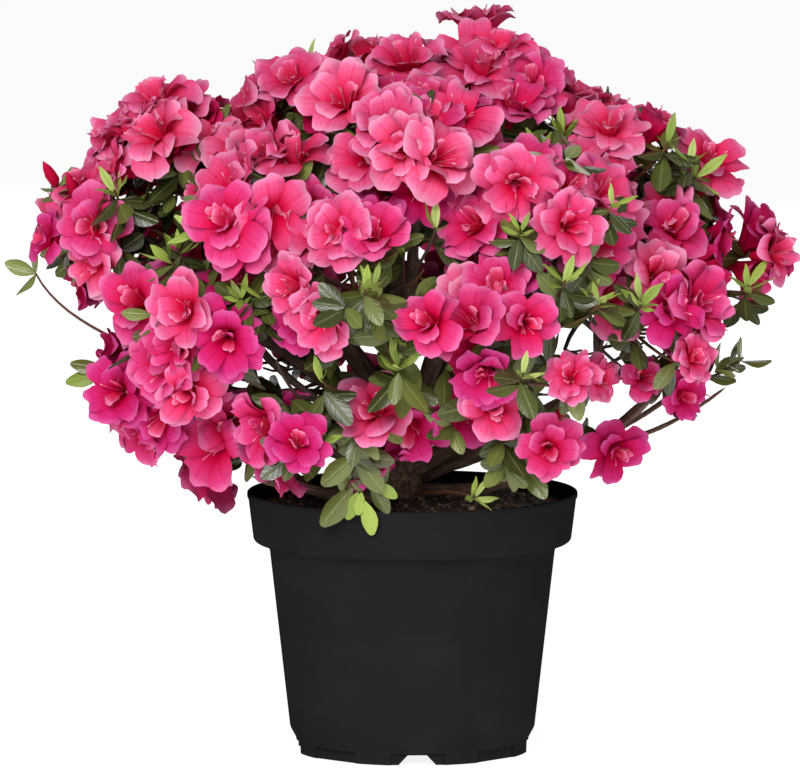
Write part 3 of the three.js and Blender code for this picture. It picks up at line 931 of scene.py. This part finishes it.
leaves = Leaves(leafPlan)


def jitter(draw, direction, amount):
    shifted = Vector(direction) + Vector([draw.gauss(0, amount) for axis in range(3)])
    return shifted.normalized()


twigEnds = []
openBlooms = []


def putBloom(draw, site, foot, axis, size, tint, form=None):
    # a bloom that would stand over the crown's line is let down to it
    half = bloomPlan["radius"] * mm * size
    top = foot + axis * half * 0.9 + up * half * 0.8 * math.sqrt(max(0.0, 1 - axis.z ** 2))
    foot = foot - up * max(0.0, min(0.03, aboveCrest(top)))
    blooms.put(draw, foot, axis, size, tint, form)
    openBlooms.append((foot, axis, size))
    twigEnds.append((foot, axis, site.owner))


def fillBlooms(plan):
    draw = random.Random(plan["bloomSeed"])
    for site in heroes:
        axis = jitter(draw, site.axis, 0.12)
        foot = site.spot - axis * plan["heroSink"] * site.size
        putBloom(draw, site, foot, axis, site.size, site.tint, draw.choice(plan["heroForms"]))
    for site in bloomSites:
        spot, normal = site.spot, site.normal
        small = site.owner in openMasses or (spot.x > 0.07 and spot.z < 0.26)
        size = draw.uniform(*plan["smallSizes" if small else "bloomSizes"])
        axis = jitter(draw, normal + up * 0.10 + Vector((0, -0.12, 0)), 0.34)
        sunk = draw.uniform(-1, 9)
        foot = spot - normal * (plan["bloomSink"] * size + sunk * mm)
        # painted shade: a bloom sunk more than 6 mm into the crown takes the next deeper tint
        putBloom(draw, site, foot, axis, size, min(4, paintedLightTint(draw, spot) + (sunk > 6)))
    for site in innerSites:
        foot = site.spot - site.normal * draw.uniform(*plan["innerDepths"])
        if draw.random() < 0.45 and not inGap(foot, 0.020) and site.owner not in openMasses:
            # painted shade: the inner blooms deep in the crown all take the deepest tint
            putBloom(draw, site, foot, jitter(draw, site.normal, 0.4), draw.uniform(0.7, 0.95), 4)


# which tints each kind of leaf is picked from, as numbers in the list of leaf tints
leafMix = dict(bloom=[0, 0, 1, 1, 1, 2, 2, 3, 4], young=[5, 5, 6, 6, 7], underYoung=[0, 1, 1, 2, 3],
               old=[0, 0, 1, 1, 2, 2, 3, 4], dark=[0, 0, 0, 1, 1, 2])


def fillLeaves(plan):
    draw = random.Random(plan["leafSeed"])
    leaves.keepClear = np.array([[*(foot + axis * 0.017 * size), 0.0125 * size] for foot, axis,
                                 size in openBlooms])
    for foot, axis, size in openBlooms:
        leaves.putCalyx(draw, foot, axis, size)
        leaves.putRosette(draw, foot - axis * 3 * mm, axis, draw.choice([4, 5, 6]),
                          draw.uniform(0.85, 1.15), leafMix["bloom"], (1.3, 1.8))
    for site in leafSites:
        patch = inPatch(site.spot)
        if site.owner in openMasses and not patch and draw.random() < plan["openShare"]:
            continue
        sink = draw.uniform(0.002, 0.012) if patch else plan["leafSink"]
        foot = site.spot - site.normal * sink
        if patch and leaves.clearance(foot) < plan["whorlReach"]:
            continue
        axis = jitter(draw, site.normal + up * (0.35 if patch else 0.5) + Vector((0, -0.2, 0)), 0.22)
        if draw.random() < (0.5 if patch else 0.2):
            leaves.putRosette(draw, foot, axis, draw.choice([4, 5, 6]), draw.uniform(0.75, 1.0),
                              leafMix["young"], (0.25, 0.95), True)
            leaves.putRosette(draw, foot - axis * 4 * mm, axis, 6, 1.0, leafMix["underYoung"], (1.15, 1.6))
        else:
            leaves.putRosette(draw, foot, axis, draw.choice([6, 7, 8]), draw.uniform(0.9, 1.15),
                              leafMix["old"], (0.8, 1.5))
        twigEnds.append((foot, axis, site.owner))
    for x, z, radius in greenPatches:
        # a whorl that stands in front: young leaves on top, old ones spread under them
        near = [site for site in sites if site.spot.y < frontSide and
                seenGap(site.spot, x, z) < plan["whorlReach"]]
        if not near or z < plan["lowestWhorl"]:
            continue
        site = max(near, key=lambda site: leaves.clearance(site.spot))
        foot = site.spot + site.normal * plan["whorlLift"] * mm
        axis = jitter(draw, site.normal * 0.5 + up * 0.9 + Vector((0, -0.3, 0)), 0.15)
        leaves.putRosette(draw, foot, axis, draw.choice([3, 4, 5]), draw.uniform(0.65, 0.9),
                          leafMix["young"], (0.3, 0.85), True)
        leaves.putRosette(draw, foot - axis * 5 * mm, axis, draw.choice([7, 8, 9]),
                          draw.uniform(0.85, 1.05), leafMix["dark"], (1.35, 2.1))
        twigEnds.append((foot + axis * mm, axis, site.owner))
    for site in innerSites:
        # a thinner layer behind, which closes the crown where nothing shows through
        foot = site.spot - site.normal * draw.uniform(0.030, 0.058)
        if inGap(foot, 0.012) or site.owner in openMasses:
            continue
        axis = jitter(draw, site.normal, 0.4)
        leaves.putRosette(draw, foot, axis, 6, draw.uniform(0.8, 1.1), leafMix["dark"], (0.7, 1.5))
        twigEnds.append((foot, axis, site.owner))


fillBlooms(crownPlan)
fillLeaves(crownPlan)
print("crown filled:", len(twigEnds), "twig ends")


woodPlan = dict(seed=61, stemFoot=(-9, -7, 145.5), stemFork=(-3, -4, 186), footRadius=13.0,
                forkRadius=9.5, flare=10.0, flareHeight=7.0, sides=20, steps=46, relief=0.16,
                stemRelief=0.22, lowRelief=0.24, taper=0.36, lowTaper=0.5, tip=0.1, bends=30, wander=7)
# each bough: the mass it feeds, its height on the stem, its root radius and the lift of its middle
boughPlan = dict(
    bough_crest_left=("crest_left", 184, 7.6, 0), bough_crest_right=("crest_right", 182, 7.2, -6),
    bough_upper_left=("upper_left", 176, 7.2, 10), bough_upper_right=("upper_right", 176, 7.2, -16),
    bough_left_low=("skirt_left", 159, 7.8, 3), bough_right_low=("skirt_right", 157, 6.8, 4),
    bough_left=("lower_left", 167, 6.8, 6), bough_right=("lower_right", 166, 6.2, -6),
    bough_front_left=("front_left", 171, 6.2, 8), bough_front_right=("front_right", 172, 6.2, 8),
    bough_back_left=("back_left", 169, 6.2, 8), bough_back_right=("back_right", 170, 6.2, 8),
    bough_front=("front_crest", 180, 5.8, 4), bough_back=("back_crest", 180, 5.8, 4))


# old crooked stems: low over the compost to the left, and out to the open lower right
lowStems = [([(-8, -8, 150), (-22, -52, 150), (-52, -56, 150), (-94, -26, 171)], 4.8),
            ([(-10, -12, 149), (-44, -66, 146), (-58, -46, 153), (-88, -10, 180)], 3.6),
            ([(-6, -6, 153), (-34, -40, 158), (-62, -44, 151), (-92, -42, 164)], 3.0),
            ([(4, -8, 152), (40, -30, 151), (72, -24, 158), (104, -6, 182)], 4.2),
            ([(98, -8, 174), (120, -14, 193), (147, -28, 207), (156, -42, 238), (177, -46, 273)], 2.9),
            ([(102, -8, 178), (122, -8, 189), (144, -6, 199), (164, -10, 221)], 2.0),
            ([(108, -8, 178), (136, -10, 182), (158, -8, 194), (180, -14, 212)], 1.6),
            ([(6, -4, 158), (46, -30, 176), (72, -34, 202), (84, -30, 246)], 3.0),
            ([(6, -2, 160), (52, -28, 172), (84, -34, 196), (112, -30, 240)], 2.6)]


def barkFinish():
    # long fibres that follow each limb, with shreds and pale flakes
    finish = Finish("fibrousBark")
    split, across, along = swatchPlace(finish, 1)
    turn = (across - 0.1) * (2 * math.pi / 0.8)
    round1 = turn.apply("COSINE")
    round2 = turn.apply("SINE")
    fibre = finish.add("CombineXYZ", None, {0: round1, 1: round2, 2: along * 2.2})
    strands = finish.grain(fibre, 5.0, 5.0, 0.7)
    lumps = finish.grain(finish.add("CombineXYZ", None, {0: round1, 1: round2, 2: along * 14.0}), 1.6, 3.0)
    color = finish.ramp(strands, [(0.30, tone(58, 41, 33)), (0.46, tone(112, 84, 68)),
                                  (0.58, tone(150, 119, 98)), (0.72, tone(186, 158, 136))])
    color = finish.blend(finish.between(lumps, 0.45, 0.7) * 0.5, color, tone(82, 56, 48))
    return finish.finishWith(color, 0.86, strands + lumps * 0.5, 0.0014)


twigTints = tones((58, 42, 34), (74, 54, 42), (96, 58, 42), (122, 84, 50), (120, 130, 60))


def twigFinish():
    finish, color, across, along = swatched("twigBark", twigTints)
    rings = (along * 90.0).apply("SINE")
    color = finish.blend(finish.between(rings, 0.6, 1.0) * 0.3, color, tone(34, 24, 18))
    return finish.finishWith(color, 0.75)


def roughened(rod, path, radii, relief, seed):
    # a limb with ridges along it and knots
    angles, shares, faces = rod
    points, faces, spots, centres = bent(rod, path, radii)
    for index, centre in enumerate(centres):
        across = Vector(points[index] - centre)
        ridge = noise.noise((math.cos(angles[index]) * 2.6, math.sin(angles[index]) * 2.6,
                             shares[index] * 5 + seed)) * 0.9
        knot = noise.noise(Vector(centre) * 75 + Vector((seed, 0, 0))) * 0.9
        flake = noise.noise(Vector(points[index]) * 420) * 0.5
        points[index] = Vector(centre) + across * (1 + relief * (ridge + knot + flake))
    return points, faces, spots


def stemAxis(height):
    foot, fork = Vector(woodPlan["stemFoot"]), Vector(woodPlan["stemFork"])
    return foot.lerp(fork, (height - foot.z) / (fork.z - foot.z)) * mm


def hubOf(name):
    low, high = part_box(name)
    return ((low + high) / 2).lerp(Vector((0, 0, 0.21)), 0.20)


def makeWood(plan):
    draw = random.Random(plan["seed"])
    rod = openRod(plan["sides"], plan["steps"])
    limbs = Heap(1)

    def addLimb(path, radii, relief):
        limbs.put(roughened(rod, path, radii, relief, draw.uniform(0, 50)), Matrix.Identity(4), 0)

    foot, fork = Vector(plan["stemFoot"]) * mm, Vector(plan["stemFork"]) * mm
    length = (fork - foot).length / mm
    shares = [index / 20 for index in range(21)]
    stemRadii = [(plan["footRadius"] * (1 - share) + plan["forkRadius"] * share +
                  plan["flare"] * math.exp(-share * length / plan["flareHeight"])) * mm for share in shares]
    middle = (foot + fork) / 2 + Vector((-3, 1, 0)) * mm
    addLimb(bentPath([foot, middle, fork + (fork - foot) * 0.06], 24), stemRadii + [stemRadii[-1] * 0.4],
            plan["stemRelief"])
    for name, (target, height, radius, lift) in boughPlan.items():
        start, end = stemAxis(height), hubOf(target)
        wander = [Vector([draw.uniform(-plan["wander"], plan["wander"]) for axis in range(3)]) * mm
                  for index in range(3)]
        controls = [start, start.lerp(end, 0.3) + wander[0] + up * lift * mm * 1.4,
                    start.lerp(end, 0.65) + wander[1] + up * lift * mm * 1.2, end]
        radii = [radius * (1 - (1 - plan["taper"]) * share ** 0.8) * mm for share in shares]
        addLimb(bentPath(controls, plan["bends"]), radii[:-1] + [radii[-1] * plan["tip"]], plan["relief"])
    for controls, radius in lowStems:
        controls = [Vector(spot) * mm for spot in controls]
        radii = [radius * (1 - plan["lowTaper"] * share) * mm for share in shares]
        addLimb(bentPath(controls, plan["bends"]), radii[:-1] + [radii[-1] * plan["tip"]],
                plan["lowRelief"])
    limbs.joined("stemAndBoughs", barkFinish(), "bark", ["main_stem"] + boughNames)
    print("  stemAndBoughs", len(limbs.points), "limbs")


twigPlan = dict(seed=71, sides=5, steps=4, runner=(2.7, 1.9), limb=(1.9, 1.25), end=(1.15, 0.7), reach=0.05,
                back=0.022, approach=0.011)


def growTwigs(plan):
    draw = random.Random(plan["seed"])
    rod = openRod(plan["sides"], plan["steps"])
    twigs = Heap(len(twigTints))

    def grow(points, steps, size, columns):
        twigs.putBent(rod, bentPath(points, steps), [radius * mm for radius in plan[size]],
                      draw.choice(columns))

    fed = [row[0] for row in boughPlan.values()]
    hubs = {name: hubOf(name) for name in massNames}
    # a mass with no bough is fed by a runner from the nearest one that has
    for name in massNames:
        if name not in fed:
            nearest = min(fed, key=lambda other: (hubs[other] - hubs[name]).length)
            middle = hubs[nearest].lerp(hubs[name], 0.5) + Vector(
                (draw.uniform(-8, 8), draw.uniform(-8, 8), -6)) * mm
            grow([hubs[nearest], middle, hubs[name]], 6, "runner", [0, 1])
    ends = {}
    for foot, axis, owner in twigEnds:
        ends.setdefault(owner, []).append((Vector(foot), Vector(axis)))
    for owner, left in ends.items():
        hub = hubs[owner]
        while left:
            first = left.pop(0)
            left.sort(key=lambda other: (other[0] - first[0]).length)
            group = [first] + [other for other in left[:3] if (other[0] - first[0]).length < plan["reach"]]
            left = [other for other in left if other not in group]
            middle = sum((foot for foot, axis in group), Vector()) / len(group)
            lean = sum((axis for foot, axis in group), Vector()).normalized()
            fork = (middle - lean * plan["back"]).lerp(hub, 0.25)
            bow = Vector([draw.uniform(-6, 6) for axis in range(3)]) * mm
            grow([hub, hub.lerp(fork, 0.5) + bow, fork], 5, "limb", [0, 1, 1])
            for foot, axis in group:
                grow([fork, foot - axis * plan["approach"], foot], 5, "end", [1, 2, 2, 3])
    return twigs


budHeap = Heap(bloomPlan["columns"])
budPlan = dict(width=3.0, length=18, folds=5, foldDepth=0.10, every=150)


def putBud(foot, axis, size):
    # a closed bud: a pointed egg with twisted folds
    plan = budPlan
    bm = bmesh.new()
    bmesh.ops.create_icosphere(bm, subdivisions=2, radius=1)
    for vertex in bm.verts:
        x, y, share = vertex.co.x, vertex.co.y, (vertex.co.z + 1) / 2
        slim = (1 - share ** 2.2) ** 0.5 * 1.15 + 0.12
        groove = 1 + plan["foldDepth"] * math.sin(math.atan2(y, x) * plan["folds"] + share * 4)
        vertex.co = Vector((x * slim * plan["width"] * groove, y * slim * plan["width"] * groove,
                            share * plan["length"]))
    shape = shapeArrays(bm, {vertex: (0.3, 0.5 + vertex.co.z / 40) for vertex in bm.verts})
    budHeap.put(shape, aimed(axis, 0, size * mm, foot), bloomPlan["budTint"])


# side shoots and hanging twigs: centre line, radius and tint
# hanging leaves: place, heading, size and tint
touchPlan = dict(
    seed=83,
    shoots=[([(-168, -10, 238), (-190, -8, 248), (-208, -5, 260), (-216, -3, 276)], 1.0, 2),
            ([(158, -12, 214), (170, -10, 216), (180, -8, 219), (190, -6, 228)], 1.2, 1),
            ([(2, -30, 152), (12, -55, 156), (26, -70, 160), (36, -82, 157)], 1.1, 2),
            ([(-18, -50, 170), (-26, -75, 176), (-34, -92, 172), (-38, -100, 164)], 1.3, 1)],
    tip=(-216, -3, 276), rimShoot=(36, -82, 157),
    hanging=[((-31, -93, 192), (0, -2, -28), 1.33, 3), ((-25, -89, 193), (8, -2, -26), 1.28, 2),
             ((-34, -94, 164), (-19, -5, -20), 1.25, 2), ((-31, -97, 162), (-7, -1, -19), 0.80, 5),
             ((-27, -98, 157), (3, -1, -21), 0.92, 6), ((-24, -94, 166), (9, -3, -14), 0.86, 1),
             ((-21, -95, 167), (12, -4, -8), 0.66, 5), ((-29, -97, 162), (-2, -3, -12), 0.60, 6),
             ((-176, -26, 222), (-24, -3, -3), 1.05, 5), ((-176, -24, 223), (-20, -4, 7), 0.90, 2)],
    buds=[((-203, -20, 328), (-0.5, -0.2, 0.9)), ((-192, -28, 322), (-0.3, -0.3, 0.9))])


def finishingTouches(plan, twigs):
    # the parts that are seen singly: side shoots, closed buds, and what hangs over the rim
    draw = random.Random(plan["seed"])
    rod = openRod(5, 8)
    for path, radius, column in plan["shoots"]:
        path = [Vector(point) * mm for point in path]
        twigs.putBent(rod, bentPath(path, 10), [radius * mm, radius * 0.65 * mm], column)
    for turn, lean in ((0.4, 1.0), (3.5, 1.1), (1.8, 0.5)):
        leaves.putLeaf(draw, Vector(plan["tip"]) * mm, (-0.6, -0.3, 0.4), turn, lean, 0.85, 3)
    for index in range(4):
        spot = Vector((168 + index * 7, -9, 218 + index * 3)) * mm
        leaves.putRosette(draw, spot, (0.7, -0.2, 0.6), 3, 0.8, [1, 2, 3], (0.5, 1.2))
    leaves.putRosette(draw, Vector(plan["rimShoot"]) * mm, (0.5, -0.6, 0.3), 5, 0.8, [5, 6, 7], (0.4, 1.2),
                      True)
    leaves.keepClear = np.zeros((0, 4))
    for spot, heading, size, column in plan["hanging"]:
        # each shows its face to the front
        front = Vector(heading).to_track_quat("Z", "Y").inverted() @ Vector((0, -1, 0.3))
        turn = math.atan2(front.x, -front.y) + draw.uniform(-0.35, 0.35)
        leaves.putLeaf(draw, Vector(spot) * mm, heading, turn, 0.12, size, column)
    for spot, axis in plan["buds"]:
        putBud(Vector(spot) * mm, axis, 1.0)
        leaves.putRosette(draw, Vector(spot) * mm, axis, 5, 0.7, [2, 3, 3], (0.6, 1.3))
    inside = [site for site in leafSites if aboveCrest(site.spot) < -0.02]
    for site in inside[::budPlan["every"]]:
        axis = jitter(draw, site.normal + up * 0.6, 0.2)
        putBud(site.spot - site.normal * 12 * mm, axis, draw.uniform(0.8, 0.95))


makeWood(woodPlan)
twigHeap = growTwigs(twigPlan)
finishingTouches(touchPlan, twigHeap)
petal = petalFinish()
levels = [[], [], []]
for name in massNames:
    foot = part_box(name)[0].z
    levels[sum(foot <= height for height in bloomPlan["massLevels"])].append(name)
for heap, name, masses in zip(blooms.petals, ("upperBlooms", "middleBlooms", "lowerBlooms"), levels):
    heap.joined(name, petal, "bloom", masses)
blooms.middle.joined("pistilsAndStamens", centreFinish(), "bloom")
budHeap.joined("closedBuds", petal, "bloom")
oldLeaf = leafFinish("azaleaLeaf", 0.27)
leaves.old[0].joined("upperLeaves", oldLeaf, "leaf")
leaves.old[1].joined("lowerLeaves", oldLeaf, "leaf", ["tuft_left", "tuft_right"])
leaves.young.joined("newLeaves", leafFinish("youngLeaf", 0.5), "leaf")
twigHeap.joined("twigs", twigFinish(), "bark", ["shoot_left", "shoot_right"])
print("plant joined")


studio = dict(target=(-0.0071, 0.0, 0.2119), distance=10.0, lens=783.4, floorColor=(0.32, 0.32, 0.32, 1),
              floorGlow=0.87, keyPower=41.0, keySize=1.2, keyPlace=(-0.6, -2.1, 1.35), fillPower=9.0,
              fillSize=1.6, fillPlace=(1.1, -2.0, 0.75), backPower=18.0, backSize=1.8,
              backPlace=(0.5, 2.3, 1.15), sky=0.22, floorSize=40, lampAim=(0, 0, 0.25), farthest=200)


def makeStudio(plan):
    bm = bmesh.new()
    bmesh.ops.create_grid(bm, x_segments=1, y_segments=1, size=plan["floorSize"])
    mesh = meshFrom(bm, "studioFloor", 1)
    finish = Finish("paleFloor")
    mesh.materials.append(finish.finishWith(plan["floorColor"], 0.9,
                                            **{"Emission Color": (1, 1, 1, 1),
        "Emission Strength": plan["floorGlow"]}))
    floor = bpy.data.objects.new("studioFloor", mesh)
    bpy.context.scene.collection.objects.link(floor)
    world = bpy.data.worlds.new("paleRoom")
    world.use_nodes = True
    background = world.node_tree.nodes["Background"]
    background.inputs["Color"].default_value = (1, 1, 1, 1)
    background.inputs["Strength"].default_value = plan["sky"]
    bpy.context.scene.world = world
    for name in ("key", "fill", "back"):
        lamp = bpy.data.lights.new(name + "Light", "AREA")
        lamp.energy = plan[name + "Power"]
        lamp.size = plan[name + "Size"]
        holder = bpy.data.objects.new(name + "Light", lamp)
        holder.location = plan[name + "Place"]
        aim = Vector(plan["lampAim"]) - holder.location
        holder.rotation_euler = aim.to_track_quat("-Z", "Y").to_euler()
        bpy.context.scene.collection.objects.link(holder)
    lens = bpy.data.cameras.new("viewCamera")
    lens.lens = plan["lens"]
    lens.clip_end = plan["farthest"]
    camera = bpy.data.objects.new("viewCamera", lens)
    target = Vector(plan["target"])
    camera.location = target + Vector((0, -math.cos(viewTilt), math.sin(viewTilt))) * plan["distance"]
    camera.rotation_euler = (target - camera.location).to_track_quat("-Z", "Y").to_euler()
    bpy.context.scene.collection.objects.link(camera)
    bpy.context.scene.camera = camera
    bpy.context.scene.view_settings.view_transform = "Standard"


makeStudio(studio)
